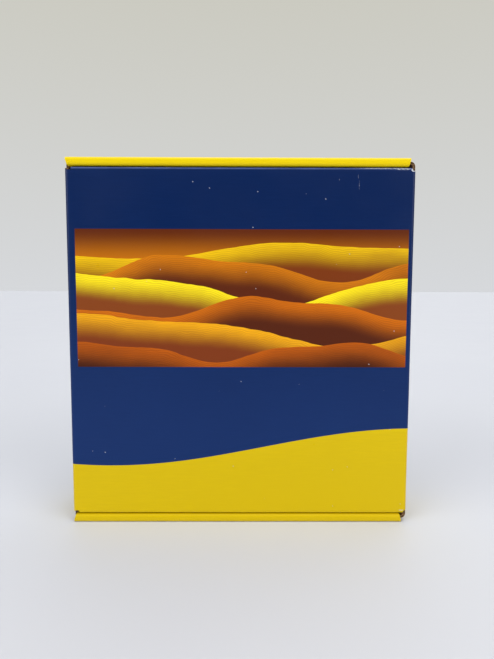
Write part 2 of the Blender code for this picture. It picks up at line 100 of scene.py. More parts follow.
def makeCamera():
    lens = bpy.data.cameras.new("camera")
    lens.lens = view["lens"]
    lens.clip_start = view["nearest"]
    camera = addObject("camera", lens)
    camera.location = view["place"]
    turns = (90 - view["down"], view["tilt"], view["left"])
    camera.rotation_euler = [math.radians(turn) for turn in turns]
    bpy.context.scene.camera = camera


studio = {
    # degrees from the front to the right, degrees up, width in degrees, strength, colour
    "suns": {
        "right": (50, 21, 46, 1.48, (1.0, 0.99, 0.97)),
        "left": (-54, 20, 46, 1.56, (0.98, 0.99, 1.0)),
        "above": (5, 78, 30, 1.0, (1.0, 1.0, 0.98)),
        "behind": (165, 50, 60, 0.65, (1.0, 1.0, 1.0)),
    },
    # at the horizon and overhead, and how far up the second starts
    "backdrop": ((214, 216, 219), (203, 202, 192), 0.5),
    "roomLight": ((0.05, 0.05, 0.053), (0.74, 0.75, 0.77), 1.0),
}


def makeLights():
    for name, (aside, up, width, strength, colour) in studio["suns"].items():
        lamp = bpy.data.lights.new(name, "SUN")
        lamp.angle = math.radians(width)
        lamp.energy = strength
        lamp.color = colour
        addObject(name, lamp).rotation_euler = (math.radians(90 - up), 0, math.radians(aside))
    bpy.context.scene.world = paleRoom()
    bpy.context.scene.view_settings.view_transform = "Standard"


def upwardShade(tree, horizon, overhead, top):
    # a colour at the horizon that turns into another towards the top
    direction = tree.nodes.new("ShaderNodeTexCoord").outputs["Generated"]
    split = tree.nodes.new("ShaderNodeSeparateXYZ")
    rise = tree.nodes.new("ShaderNodeMapRange")
    rise.inputs["From Max"].default_value = top
    shade = tree.nodes.new("ShaderNodeMix")
    shade.data_type = "RGBA"
    shade.inputs[6].default_value = (*horizon, 1)
    shade.inputs[7].default_value = (*overhead, 1)
    tree.links.new(direction, split.inputs[0])
    tree.links.new(split.outputs[2], rise.inputs[0])
    tree.links.new(rise.outputs[0], shade.inputs[0])
    return shade.outputs[2]


def paleRoom():
    # a pale backdrop in a room that is dim around the carton and lighter overhead
    world = bpy.data.worlds.new("pale_room")
    world.use_nodes = True
    tree = world.node_tree
    horizon, overhead, top = studio["backdrop"]
    backdrop = tree.nodes["Background"]
    tree.links.new(upwardShade(tree, tint(*horizon), tint(*overhead), top), backdrop.inputs["Color"])
    room = tree.nodes.new("ShaderNodeBackground")
    tree.links.new(upwardShade(tree, *studio["roomLight"]), room.inputs["Color"])
    choice = tree.nodes.new("ShaderNodeMixShader")
    tree.links.new(tree.nodes.new("ShaderNodeLightPath").outputs["Is Camera Ray"], choice.inputs[0])
    tree.links.new(room.outputs[0], choice.inputs[1])
    tree.links.new(backdrop.outputs[0], choice.inputs[2])
    tree.links.new(choice.outputs[0], tree.nodes["World Output"].inputs["Surface"])
    return world


# Materials
def tint(*channels):
    # a colour as a screen shows it, made linear by the screens' usual curve
    shares = [channel / 255 for channel in channels]
    return tuple(share / 12.92 if share < 0.04045 else ((share + 0.055) / 1.055) ** 2.4 for share in shares)


class Recipe:
    # a material under construction, with short names for the nodes that it needs
    def __init__(self, name):
        self.material = bpy.data.materials.new(name)
        self.material.use_nodes = True
        self.tree = self.material.node_tree
        self.shader = self.tree.nodes["Principled BSDF"]
        self.point = self.tree.nodes.new("ShaderNodeTexCoord").outputs["Object"]
        split = self.node("ShaderNodeSeparateXYZ", [self.point])
        self.x, self.y, self.z = split.outputs

    def node(self, kind, values=(), **settings):
        made = self.tree.nodes.new(kind)
        for key, setting in settings.items():
            setattr(made, key, setting)
        for socket, value in zip(made.inputs, values):
            self.feed(socket, value)
        return made

    def feed(self, socket, value):
        if isinstance(value, bpy.types.NodeSocket):
            self.tree.links.new(value, socket)
        elif value is not None:
            socket.default_value = (*tint(*value), 1) if socket.type == "RGBA" else value

    def sum(self, operation, *values):
        return self.node("ShaderNodeMath", values, operation=operation).outputs[0]

    def step(self, value, start, end):
        # 0 at the start and before it, 1 at the end and past it, with a smooth rise between
        rise = self.node("ShaderNodeMapRange", [value, start, end, 0, 1], interpolation_type="SMOOTHSTEP")
        return rise.outputs[0]

    def ranged(self, value, results, limits=(0, 1)):
        # a value between the limits, moved to between the results
        return self.node("ShaderNodeMapRange", [value, *limits, *results]).outputs[0]

    def mix(self, share, under, over):
        # a share under 0 counts as 0, and one over 1 as 1
        made = self.node("ShaderNodeMix", data_type="RGBA")
        for index, value in ((0, share), (6, under), (7, over)):
            self.feed(made.inputs[index], value)
        return made.outputs[2]

    def noise(self, size, detail=2.0, stretch=(1, 1, 1), roughness=0.5):
        place = self.node("ShaderNodeMapping", [self.point, None, None, stretch])
        made = self.node("ShaderNodeTexNoise", [place.outputs[0]])
        made.inputs["Scale"].default_value = 1 / size
        made.inputs["Detail"].default_value = detail
        made.inputs["Roughness"].default_value = roughness
        return made.outputs[0]

    def drift(self, **pattern):
        # noise that swings around 0
        return self.sum("SUBTRACT", self.noise(**pattern), 0.5)

    def specks(self, spacing, radius, share):
        # round specks, each in one cell out of many
        cells = self.node("ShaderNodeTexVoronoi", [self.point])
        cells.inputs["Scale"].default_value = 1 / spacing
        chosen = self.node("ShaderNodeSeparateColor", [cells.outputs["Color"]])
        some = self.sum("LESS_THAN", chosen.outputs[0], share)
        spread = self.sum("MULTIPLY", chosen.outputs[1], radius / spacing)
        near = self.sum("LESS_THAN", cells.outputs["Distance"], spread)
        return self.sum("MULTIPLY", some, near)

    def bump(self, height, depth):
        made = self.node("ShaderNodeBump")
        made.inputs["Distance"].default_value = depth
        self.feed(made.inputs["Height"], height)
        before = self.shader.inputs["Normal"]
        if before.is_linked:
            self.tree.links.new(before.links[0].from_socket, made.inputs["Normal"])
        self.tree.links.new(made.outputs[0], before)

    def finish(self, colour, roughness, shine=0.5):
        self.feed(self.shader.inputs["Base Color"], colour)
        self.feed(self.shader.inputs["Roughness"], roughness)
        self.shader.inputs["Specular IOR Level"].default_value = shine
        return self.material


coating = {
    "shine": 0.17,
    "roughness": (0.27, 0.38),
    "smears": {"size": 0.045, "detail": 5, "roughness": 0.62},
    "smearLimits": (0.3, 0.7),
    "flute": 0.0034,                # from one flute to the next
    "washboard": 0.000004,          # how far the flutes show through the liner
    "waves": {"size": 0.03, "detail": 3},
    "waveDepth": 0.00009,           # unevenness of the glued liner
    "grain": {"size": 0.0006, "detail": 4},
    "grainDepth": 0.0000025,
    "specks": {"spacing": 0.0085, "radius": 0.0005, "share": 0.5},
    "speckWear": 0.75,
    "wornTint": (205, 208, 214),
    "wornRoughness": 0.75,
}


def flutes(recipe):
    # a wave across the upright flutes inside the board
    return recipe.sum("SINE", recipe.sum("MULTIPLY", recipe.x, math.tau / coating["flute"]))


def coatedBoard(recipe, colour, wear):
    # print under a thin gloss coat on the outer liner, worn where wear is 1
    recipe.bump(flutes(recipe), coating["washboard"])
    recipe.bump(recipe.noise(**coating["waves"]), coating["waveDepth"])
    recipe.bump(recipe.noise(**coating["grain"]), coating["grainDepth"])
    specks = recipe.sum("MULTIPLY", recipe.specks(**coating["specks"]), coating["speckWear"])
    worn = recipe.sum("MAXIMUM", wear, specks)
    colour = recipe.mix(worn, colour, coating["wornTint"])
    gloss = recipe.ranged(recipe.noise(**coating["smears"]), coating["roughness"], coating["smearLimits"])
    rough = recipe.sum("MAXIMUM", gloss, recipe.sum("MULTIPLY", worn, coating["wornRoughness"]))
    return recipe.finish(colour, rough, coating["shine"])


sweep = {
    "low": 0.0436,      # lowest point of the yellow field's edge
    "high": 0.0718,     # its highest point
    "foot": 0.095,      # the lowest point lies this far left of the middle
    "run": 0.224,       # from the lowest point to the highest
    "soft": 0.00012,
}


def yellowShare(recipe):
    # 1 below the edge of the yellow sweep and 0 above it
    turn = recipe.sum("MULTIPLY", recipe.sum("ADD", recipe.x, sweep["foot"]), math.pi / sweep["run"])
    rise = recipe.sum("SUBTRACT", 1, recipe.sum("COSINE", turn))
    edge = recipe.sum("MULTIPLY_ADD", rise, (sweep["high"] - sweep["low"]) / 2, sweep["low"])
    return recipe.step(recipe.sum("SUBTRACT", edge, recipe.z), -sweep["soft"], sweep["soft"])


inks = {
    # an ink's tone at the top and at the bottom of the carton, which differ by painted light, and its paler
    # tone along the level folds, partly ink that a fold stretches and partly a painted highlight
    "blue": ((0, 29, 76), (13, 43, 96), (104, 124, 190)),
    "yellow": ((228, 199, 0), (204, 175, 0), (238, 214, 40)),
    # between these heights the carton turns from the top tone to the bottom tone: painted light, with the
    # blue paler below as a painted reflection of the floor and the yellow darker below as painted shade
    "fade": (0.25, 0.02),       # heights of the first two tones
    "clouds": {"size": 0.08, "detail": 4},
    "cloudShare": 0.35,
    "streaks": {"size": 0.0011, "detail": 3, "stretch": (0.07, 1, 1), "roughness": 0.6},
    "streakShare": 0.45,
    "patches": {"size": 0.012, "detail": 4, "roughness": 0.6},
    # how strongly the level folds turn to the paler tone: partly the ink's stretching over the bend, partly
    # a painted highlight
    "stretchAndHighlight": 1.1,
}


def inkedAndLit(recipe, name, stretchAndHighlight):
    # a field of ink with the slight clouds and streaks of a print on brown board, and painted light: a
    # painted reflection that makes the blue paler towards the bottom, painted shade that makes the yellow
    # darker towards the bottom, and a painted highlight on the level folds, where the folds also stretch
    # the ink
    # painted light: the tone runs from the top tone to the bottom tone with height
    fade = recipe.step(recipe.z, *inks["fade"])
    fade = recipe.sum("MULTIPLY_ADD", recipe.drift(**inks["clouds"]), inks["cloudShare"], fade)
    fade = recipe.sum("MULTIPLY_ADD", recipe.drift(**inks["streaks"]), inks["streakShare"], fade)
    high, low, stretchAndHighlightTone = inks[name]
    # painted highlight: the level folds turn towards a paler tone, which also stands for the ink's
    # stretching over the bend
    patches = recipe.sum("MULTIPLY", recipe.noise(**inks["patches"]), inks["stretchAndHighlight"])
    return recipe.mix(recipe.sum("MULTIPLY", stretchAndHighlight, patches), recipe.mix(fade, high, low), stretchAndHighlightTone)


band = {
    "bottom": 0.1173,
    "top": 0.2166,
    "middle": 0.0012,
    "halfWidth": 0.1193,
    "soft": 0.0001,
    "sky": ((196, 112, 6), (92, 36, 8)),    # low and high
    "haze": 0.012,      # the low sky's colour starts this far under the farthest crest
    # from the farthest dune to the nearest: height of the crest, its rise, length, start, shade and light
    "dunes": (
        (0.2010, 0.0055, 0.310, 0.4, (118, 52, 12), (246, 200, 12)),
        (0.1895, 0.0080, 0.205, 2.6, (88, 34, 8), (212, 122, 8)),
        (0.1760, 0.0105, 0.275, 4.1, (128, 62, 20), (255, 232, 26)),
        (0.1610, 0.0070, 0.190, 0.8, (80, 30, 6), (202, 104, 6)),
        (0.1455, 0.0100, 0.330, 3.3, (120, 52, 16), (238, 168, 16)),
        (0.1290, 0.0065, 0.170, 5.4, (64, 22, 2), (186, 88, 4)),
    ),
    "ripple": (2.3, 0.3),       # a second wave along a crest: how much quicker and how much of its rise
    "bends": {"size": 0.035, "detail": 3, "roughness": 0.6},
    "crestBend": 0.5,           # share of a crest's rise
    "lineBend": 0.0088,
    "furrow": 0.0013,           # from one wind line to the next
    "furrowLight": (0.13, 0.87),
    "shadows": {"size": 0.05, "detail": 4, "stretch": (0.6, 1, 1.8), "roughness": 0.6},
    "shadowLight": (1.1, 0.4),
    "glow": 0.019,      # how far the light reaches below a crest
    "rim": 0.0011,      # the bright line along a crest
    "rimLight": 0.45,
}


def duneCrest(recipe, crest, rise, length, start, bends):
    # height of a dune's outline
    quicker, lower = band["ripple"]
    turn = recipe.sum("MULTIPLY_ADD", recipe.x, math.tau / length, start)
    ripple = recipe.sum("SINE", recipe.sum("MULTIPLY", turn, quicker))
    height = recipe.sum("MULTIPLY_ADD", recipe.sum("SINE", turn), rise, crest)
    height = recipe.sum("MULTIPLY_ADD", ripple, rise * lower, height)
    return recipe.sum("MULTIPLY_ADD", bends, rise * band["crestBend"], height)


def duneFace(recipe, depth, bends, shadows, shade, light):
    # bright along the crest and darker below it, with wind lines that follow the crest
    course = recipe.sum("MULTIPLY_ADD", bends, band["lineBend"], depth)
    lines = recipe.sum("SINE", recipe.sum("MULTIPLY", course, math.tau / band["furrow"]))
    lit = recipe.step(depth, band["glow"], -band["rim"])
    lit = recipe.sum("MULTIPLY", lit, recipe.sum("MULTIPLY_ADD", lines, *band["furrowLight"]))
    lit = recipe.sum("MULTIPLY", lit, recipe.sum("MULTIPLY_ADD", shadows, *band["shadowLight"]))
    rim = recipe.sum("MULTIPLY", recipe.step(depth, band["rim"], 0), band["rimLight"])
    return recipe.mix(rim, recipe.mix(lit, shade, light), light)


def dunes(recipe):
    # a plain amber landscape of overlapping dunes
    farthest = band["dunes"][0][0]
    colour = recipe.mix(recipe.step(recipe.z, farthest - band["haze"], band["top"]), *band["sky"])
    bends = recipe.drift(**band["bends"])
    shadows = recipe.noise(**band["shadows"])
    for *outline, shade, light in band["dunes"]:
        depth = recipe.sum("SUBTRACT", duneCrest(recipe, *outline, bends), recipe.z)
        face = duneFace(recipe, depth, bends, shadows, shade, light)
        colour = recipe.mix(recipe.step(depth, -band["soft"], band["soft"]), colour, face)
    return colour


def bandShare(recipe):
    # 1 inside the picture's band and 0 around it
    off = recipe.sum("ABSOLUTE", recipe.sum("SUBTRACT", recipe.x, band["middle"]))
    side = recipe.sum("SUBTRACT", band["halfWidth"], off)
    above = recipe.sum("SUBTRACT", recipe.z, band["bottom"])
    below = recipe.sum("SUBTRACT", band["top"], recipe.z)
    inner = recipe.sum("MINIMUM", side, recipe.sum("MINIMUM", above, below))
    return recipe.step(inner, -band["soft"], band["soft"])


scuffs = {
    # middle and half size along x and z, and how worn the print is there
    "lid": (
        ((0.1010, 0.2595), (0.0300, 0.0009), 1.0),
        ((0.1150, 0.2590), (0.0090, 0.0013), 1.05),
        ((0.1226, 0.2582), (0.0022, 0.0014), 1.8),
        ((0.0842, 0.2478), (0.0003, 0.0050), 0.95),
        ((0.0834, 0.2538), (0.0003, 0.0030), 0.85),
        ((0.0700, 0.2512), (0.0003, 0.0016), 0.85),
        ((0.1205, 0.0095), (0.0030, 0.0009), 1.0),
        ((-0.1225, 0.0090), (0.0016, 0.0008), 1.0),
    ),
    "tray": (
        ((0.1232, 0.2590), (0.0020, 0.0020), 1.0),
        ((-0.1230, 0.2600), (0.0016, 0.0018), 1.0),
    ),
    "spread": (1.2, 0.1),           # from a spot's edge inwards, squared
    "depth": (0.014, 0.005),        # they fade between these depths behind the front
    "ragged": {"size": 0.0009, "detail": 6, "stretch": (0.8, 1, 1), "roughness": 0.75},
    "limits": (0.38, 0.68),
    "most": 0.8,
}


def rubbed(recipe, places):
    # worn spots with ragged edges
    worn = 0
    for (x, z), (wide, tall), share in places:
        across = recipe.sum("DIVIDE", recipe.sum("SUBTRACT", recipe.x, x), wide)
        up = recipe.sum("DIVIDE", recipe.sum("SUBTRACT", recipe.z, z), tall)
        far = recipe.sum("MULTIPLY_ADD", up, up, recipe.sum("MULTIPLY", across, across))
        spot = recipe.sum("MULTIPLY", recipe.step(far, *scuffs["spread"]), share)
        worn = recipe.sum("MAXIMUM", worn, spot)
    front = recipe.step(recipe.y, *(depth - halfY for depth in scuffs["depth"]))
    worn = recipe.sum("MULTIPLY", recipe.sum("MULTIPLY", worn, recipe.noise(**scuffs["ragged"])), front)
    return recipe.sum("MULTIPLY", recipe.step(worn, *scuffs["limits"]), scuffs["most"])


edgeWear = {
    "width": 0.0022,
    "ragged": {"size": 0.0011, "detail": 6, "stretch": (0.6, 1, 0.35), "roughness": 0.75},
    "limits": (0.34, 0.44),
}


def foldWear(recipe, reachZ):
    # fine cracks in the print along the folds, and the level folds themselves, where the bend stretches the
    # ink and a painted highlight makes it paler, given the half height between the end folds
    up = recipe.sum("SUBTRACT", recipe.z, halfZ)
    sides = []
    for place, reachOut in ((recipe.x, halfX), (recipe.y, halfY), (up, reachZ)):
        off = recipe.sum("ABSOLUTE", place)
        sides.append(recipe.step(off, reachOut - edgeWear["width"], reachOut))
    across, deep, tall = sides
    level = recipe.sum("MULTIPLY", deep, tall)
    near = recipe.sum("MAXIMUM", recipe.sum("MULTIPLY", across, deep), recipe.sum("MULTIPLY", across, tall))
    cracks = recipe.sum("MULTIPLY", recipe.sum("MAXIMUM", near, level), recipe.noise(**edgeWear["ragged"]))
    return recipe.step(cracks, *edgeWear["limits"]), level


def lidPrint():
    recipe = Recipe("lid_print")
    cracks, level = foldWear(recipe, lidTop)
    colour = recipe.mix(bandShare(recipe), inkedAndLit(recipe, "blue", level), dunes(recipe))
    colour = recipe.mix(yellowShare(recipe), colour, inkedAndLit(recipe, "yellow", level))
    return coatedBoard(recipe, colour, recipe.sum("MAXIMUM", cracks, rubbed(recipe, scuffs["lid"])))


def wallPrint():
    recipe = Recipe("wall_print")
    cracks, level = foldWear(recipe, halfZ)
    colour = recipe.mix(yellowShare(recipe), inkedAndLit(recipe, "blue", level), inkedAndLit(recipe, "yellow", level))
    return coatedBoard(recipe, colour, recipe.sum("MAXIMUM", cracks, rubbed(recipe, scuffs["tray"])))


def endPrint():
    recipe = Recipe("end_print")
    cracks, level = foldWear(recipe, halfZ)
    return coatedBoard(recipe, inkedAndLit(recipe, "yellow", level), cracks)


kraft = {
    "tints": ((196, 160, 118), (158, 122, 84)),     # pale and dark
    # patterns, and how much of the dark tone each of them brings
    "fibres": {"size": 0.0006, "detail": 4, "stretch": (1, 1, 0.3), "roughness": 0.7},
    "fibreShare": 0.38,
    "mottle": {"size": 0.0034, "detail": 5, "stretch": (1, 1, 0.75), "roughness": 0.72},
    "mottleShare": 0.42,
    "clouds": {"size": 0.03, "detail": 4},
    "cloudShare": 0.4,
    "fluteShare": 0.03,
    "limits": (0.3, 0.85),
    "flecks": {"spacing": 0.004, "radius": 0.00024, "share": 0.3},
    "fleckTint": (112, 80, 50),
    "fluteDepth": 0.00002,
    "fibreDepth": 0.00001,
    "roughness": (0.75, 0.95),
    "shine": 0.25,
}


def brownLiner(name, lighter):
    # unprinted paper with fibres, flecks and the flutes' faint stripes
    recipe = Recipe(name)
    wave = flutes(recipe)
    fibres = recipe.noise(**kraft["fibres"])
    share = recipe.sum("MULTIPLY_ADD", fibres, kraft["fibreShare"], -lighter)
    share = recipe.sum("MULTIPLY_ADD", recipe.noise(**kraft["mottle"]), kraft["mottleShare"], share)
    share = recipe.sum("MULTIPLY_ADD", recipe.noise(**kraft["clouds"]), kraft["cloudShare"], share)
    share = recipe.sum("MULTIPLY_ADD", wave, kraft["fluteShare"], share)
    colour = recipe.mix(recipe.step(share, *kraft["limits"]), *kraft["tints"])
    colour = recipe.mix(recipe.specks(**kraft["flecks"]), colour, kraft["fleckTint"])
    recipe.bump(wave, kraft["fluteDepth"])
    recipe.bump(fibres, kraft["fibreDepth"])
    return recipe.finish(colour, recipe.ranged(fibres, kraft["roughness"]), kraft["shine"])


cut = {
    "liner": 0.16,          # share of the board's thickness
    "linerSoft": 0.2,
    "medium": 0.11,
    "mediumSoft": 0.3,
    # the first tint is painted shade for the hollow flutes; then come the fluted paper and the liners
    "tints": ((34, 25, 18), (102, 78, 54), (132, 102, 72)),     # the gaps, the fluted paper and the liners
    "paperDepth": 0.0003,
    "fray": {"size": 0.0007, "detail": 5, "roughness": 0.7},
    "frayLimits": (0.35, 0.8),
    "frayDepth": 0.00008,
    "roughness": 0.9,
    "shine": 0.2,
}


def rawEdge():
    # the cut edge: two liners and the fluted paper between them, seen across the flutes, with painted shade
    # in the hollows between the flutes
    recipe = Recipe("raw_edge")
    ply = recipe.node("ShaderNodeAttribute", attribute_name="ply").outputs["Fac"]
    middle = recipe.sum("MULTIPLY_ADD", flutes(recipe), 0.5 - cut["liner"], 0.5)
    off = recipe.sum("ABSOLUTE", recipe.sum("SUBTRACT", ply, middle))
    soft = cut["medium"] * cut["mediumSoft"]
    medium = recipe.step(off, cut["medium"] + soft, cut["medium"] - soft)
    outward = recipe.sum("ABSOLUTE", recipe.sum("SUBTRACT", ply, 0.5))
    start, soft = 0.5 - cut["liner"], cut["liner"] * cut["linerSoft"]
    liner = recipe.step(outward, start - soft, start + soft)
    hollowShade, fluted, paper = cut["tints"]
    fray = recipe.noise(**cut["fray"])
    # painted shade: the hollows between the fluted paper and the liners are coloured near black
    colour = recipe.mix(liner, recipe.mix(medium, hollowShade, fluted), paper)
    colour = recipe.mix(recipe.step(fray, *cut["frayLimits"]), colour, kraft["tints"][1])
    recipe.bump(recipe.sum("MAXIMUM", medium, liner), cut["paperDepth"])
    recipe.bump(fray, cut["frayDepth"])
    return recipe.finish(colour, cut["roughness"], cut["shine"])


steel = {
    "tints": ((196, 197, 199), (150, 140, 128)),    # clean and stained
    "stains": {"size": 0.012, "detail": 4},
    "stainLimits": (0.45, 0.75),
    "streaks": {"size": 0.0006, "detail": 5, "stretch": (1, 0.08, 1), "roughness": 0.65},
    "streakDepth": 0.00003,
    "roughness": (0.2, 0.42),
}


def drawnSteel():
    recipe = Recipe("drawn_steel")
    streaks = recipe.noise(**steel["streaks"])
    stains = recipe.step(recipe.noise(**steel["stains"]), *steel["stainLimits"])
    recipe.bump(streaks, steel["streakDepth"])
    recipe.shader.inputs["Metallic"].default_value = 1
    return recipe.finish(recipe.mix(stains, *steel["tints"]), recipe.ranged(streaks, steel["roughness"]))


silica = {
    "tints": ((150, 82, 22), (184, 112, 36), (92, 44, 12)),     # two batches of coating, and dark places
    "batches": {"size": 0.02, "detail": 3},
    "batchLimits": (0.3, 0.7),
    "grain": {"size": 0.0009, "detail": 3},
    "grainLimits": (0.55, 0.9),
    "roughness": (0.18, 0.34),
    "coat": (0.6, 0.08),        # weight and roughness
}


def amberSilica():
    recipe = Recipe("amber_silica")
    batch = recipe.step(recipe.noise(**silica["batches"]), *silica["batchLimits"])
    grain = recipe.noise(**silica["grain"])
    one, other, dark = silica["tints"]
    colour = recipe.mix(recipe.step(grain, *silica["grainLimits"]), recipe.mix(batch, one, other), dark)
    recipe.shader.inputs["Coat Weight"].default_value = silica["coat"][0]
    recipe.shader.inputs["Coat Roughness"].default_value = silica["coat"][1]
    return recipe.finish(colour, recipe.ranged(grain, silica["roughness"]))


rubber = {
    "tints": ((128, 42, 30), (150, 68, 54)),    # clean and dusty
    "dust": {"size": 0.0005, "detail": 4},
    "dustLimits": (0.4, 0.8),
    "dustDepth": 0.000012,
    "roughness": (0.6, 0.85),
}


def mouldedRubber():
    recipe = Recipe("moulded_rubber")
    dust = recipe.noise(**rubber["dust"])
    recipe.bump(dust, rubber["dustDepth"])
    colour = recipe.mix(recipe.step(dust, *rubber["dustLimits"]), *rubber["tints"])
    return recipe.finish(colour, recipe.ranged(dust, rubber["roughness"]))


ground = {
    "size": 60,
    "cells": 40,
    "tints": ((201, 203, 210), (206, 208, 213)),
    "clouds": {"size": 0.4, "detail": 3},
    "grain": {"size": 0.004, "detail": 3},
    "grainDepth": 0.00002,
    "smears": {"size": 0.1},
    "roughness": (0.45, 0.6),
    "shine": 0.2,
}


def floorSheet():
    recipe = Recipe("floor_sheet")
    recipe.bump(recipe.noise(**ground["grain"]), ground["grainDepth"])
    colour = recipe.mix(recipe.noise(**ground["clouds"]), *ground["tints"])
    rough = recipe.ranged(recipe.noise(**ground["smears"]), ground["roughness"])
    return recipe.finish(colour, rough, ground["shine"])


# Making sheets
tolerance = {
    "place": 1e-6,
    "cut": 1e-7,
    "mirror": 1e-5,
}


def within(point, limits):
    for axis, (low, high) in limits.items():
        if not low - tolerance["place"] <= point.dot(axes[axis]) <= high + tolerance["place"]:
            return False
    return True


def edgesWithin(edges, **limits):
    return [edge for edge in edges if all(within(vert.co, limits) for vert in edge.verts)]


def freeEdges(bm, **limits):
    return edgesWithin([edge for edge in bm.edges if edge.is_boundary], **limits)


def vertsOf(edges):
    return list(dict.fromkeys(vert for edge in edges for vert in edge.verts))


def edgesAmong(edges, verts):
    members = set(verts)
    return [edge for edge in edges if members.issuperset(edge.verts)]


def flatPanel(bm, xRange, zRange, y):
    centre = Vector((sum(xRange) / 2, y, sum(zRange) / 2))
    size = Matrix.Diagonal((xRange[1] - xRange[0], zRange[1] - zRange[0], 1, 1))
    place = Matrix.Translation(centre) @ Matrix.Rotation(math.radians(90), 4, "X") @ size
    bmesh.ops.create_grid(bm, x_segments=1, y_segments=1, size=0.5, matrix=place)


def score(bm, axis, places):
    # draws a line across everything at each place
    for place in places:
        bmesh.ops.bisect_plane(
            bm, geom=bm.verts[:] + bm.edges[:] + bm.faces[:],
            plane_co=axes[axis] * place, plane_no=axes[axis], dist=tolerance["cut"],
        )


def punchOut(bm, **limits):
    waste = [face for face in bm.faces if within(face.calc_center_median(), limits)]
    bmesh.ops.delete(bm, geom=waste, context="FACES")


def grow(bm, rim):
    # extrudes a rim, still in its place, and returns the new vertices and edges
    grown = bmesh.ops.extrude_edge_only(bm, edges=rim)["geom"]
    verts = [item for item in grown if isinstance(item, bmesh.types.BMVert)]
    edges = [item for item in grown if isinstance(item, bmesh.types.BMEdge)]
    return verts, edgesAmong(edges, verts)


def endPoints(rim, along):
    points = sorted(vertsOf(rim), key=lambda vert: vert.co.dot(axes[along]))
    return points[0], points[-1]


def shiftEnds(rim, along, ends):
    # lengthens a rim at its two ends, or shortens it
    first, last = endPoints(rim, along)
    first.co -= axes[along] * ends[0]
    last.co += axes[along] * ends[1]


def reach(bm, rim, move, along, ends=(0, 0)):
    # extends the sheet flat from a rim and returns the new rim
    verts, rim = grow(bm, rim)
    bmesh.ops.translate(bm, verts=verts, vec=Vector(move))
    shiftEnds(rim, along, ends)
    return rim


def fold(bm, rim, centre, along, degrees, ends=(0, 0), steps=None):
    # bends the sheet about an axis through a centre and returns the new rim
    steps = steps or max(1, round(abs(degrees) * carton["foldSteps"] / 90))
    for _ in range(steps):
        turned = bmesh.ops.spin(
            bm, geom=vertsOf(rim) + rim, cent=centre, axis=axes[along],
            angle=math.radians(degrees) / steps, steps=1, use_duplicate=False,
        )
        rim = [item for item in turned["geom_last"] if isinstance(item, bmesh.types.BMEdge)]
        shiftEnds(rim, along, [end / steps for end in ends])
    return rim


def roundCorners(bm, rim, along, radius):
    # rounds a flap's free corners, apart from one where its other half follows
    corners = [vert for vert in endPoints(rim, along) if abs(vert.co.z) > tolerance["place"]]
    bmesh.ops.bevel(
        bm, geom=corners, offset=radius, offset_type="OFFSET", segments=carton["cornerSteps"],
        profile=0.5, affect="VERTICES", clamp_overlap=True, material=-1,
    )


def mirrorDown(bm):
    everything = bm.verts[:] + bm.edges[:] + bm.faces[:]
    bmesh.ops.mirror(bm, geom=everything, merge_dist=tolerance["mirror"], axis="Z")


def faceOutwards(bm, awayFrom=(0, 0, 0)):
    bmesh.ops.remove_doubles(bm, verts=bm.verts[:], dist=tolerance["place"])
    bmesh.ops.recalc_face_normals(bm, faces=bm.faces[:])
    largest = max(bm.faces, key=lambda face: face.calc_area())
    if largest.normal.dot(largest.calc_center_median() - Vector(awayFrom)) < 0:
        bmesh.ops.reverse_faces(bm, faces=bm.faces[:])


def cellLines(half):
    count = math.ceil(half / carton["cell"])
    return [half * i / count for i in range(1 - count, count)]


def refine(bm):
    # draws the cells in which the board may sag
    for axis, half in (("X", halfX), ("Y", halfY), ("Z", halfZ)):
        score(bm, axis, cellLines(half))


def sag(bm):
    # moves the board towards the carton's middle by a little more here and a little less there
    noise.seed_set(carton["sagSeed"])
    for vert in bm.verts:
        drift = noise.noise_vector(vert.co / carton["sagSize"])
        for axis, half in enumerate((halfX, halfY)):
            amount = 0.5 + 0.5 * max(-1, min(1, drift[axis]))
            vert.co[axis] -= vert.co[axis] / half * carton["sag"] * amount


def thicken(bm, board, inkCount=1):
    # gives the sheet its board inwards. Its inks come first among its materials, then the brown side and
    # the cut edge
    ply = bm.verts.layers.float.new("ply")
    printed = set(bm.verts)
    bmesh.ops.solidify(bm, geom=bm.faces[:], thickness=board)
    for vert in bm.verts:
        vert[ply] = 0 if vert in printed else 1
    for face in bm.faces:
        depths = {vert[ply] for vert in face.verts}
        if depths == {1}:
            face.material_index = inkCount
        elif len(depths) == 2:
            face.material_index = inkCount + 1


def smoothFaces(bm, sharpest=180):
    for face in bm.faces:
        face.smooth = True
    for edge in bm.edges:
        kinds = {face.material_index for face in edge.link_faces}
        edge.smooth = len(kinds) == 1 and edge.calc_face_angle(0) < math.radians(sharpest)


def wholeBoard(bm, inkCount=1):
    # makes the carton's board from the upper half of a sheet without thickness
    mirrorDown(bm)
    faceOutwards(bm)
    refine(bm)
    sag(bm)
    thicken(bm, carton["board"], inkCount)
    smoothFaces(bm, carton["sharpest"])


def putTogether(bm, name, body, materials, replaced=()):
    # closes a bmesh, drawn around the carton's middle, into a piece whose place is in its mesh
    bmesh.ops.translate(bm, verts=bm.verts[:], vec=(0, 0, halfZ))
    mesh = bpy.data.meshes.new(name)
    bm.to_mesh(mesh)
    bm.free()
    piece = addObject(name, mesh)
    for material in materials:
        mesh.materials.append(material)
    if body:
        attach(piece, body)
    if replaced:
        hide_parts(*replaced)
    return piece


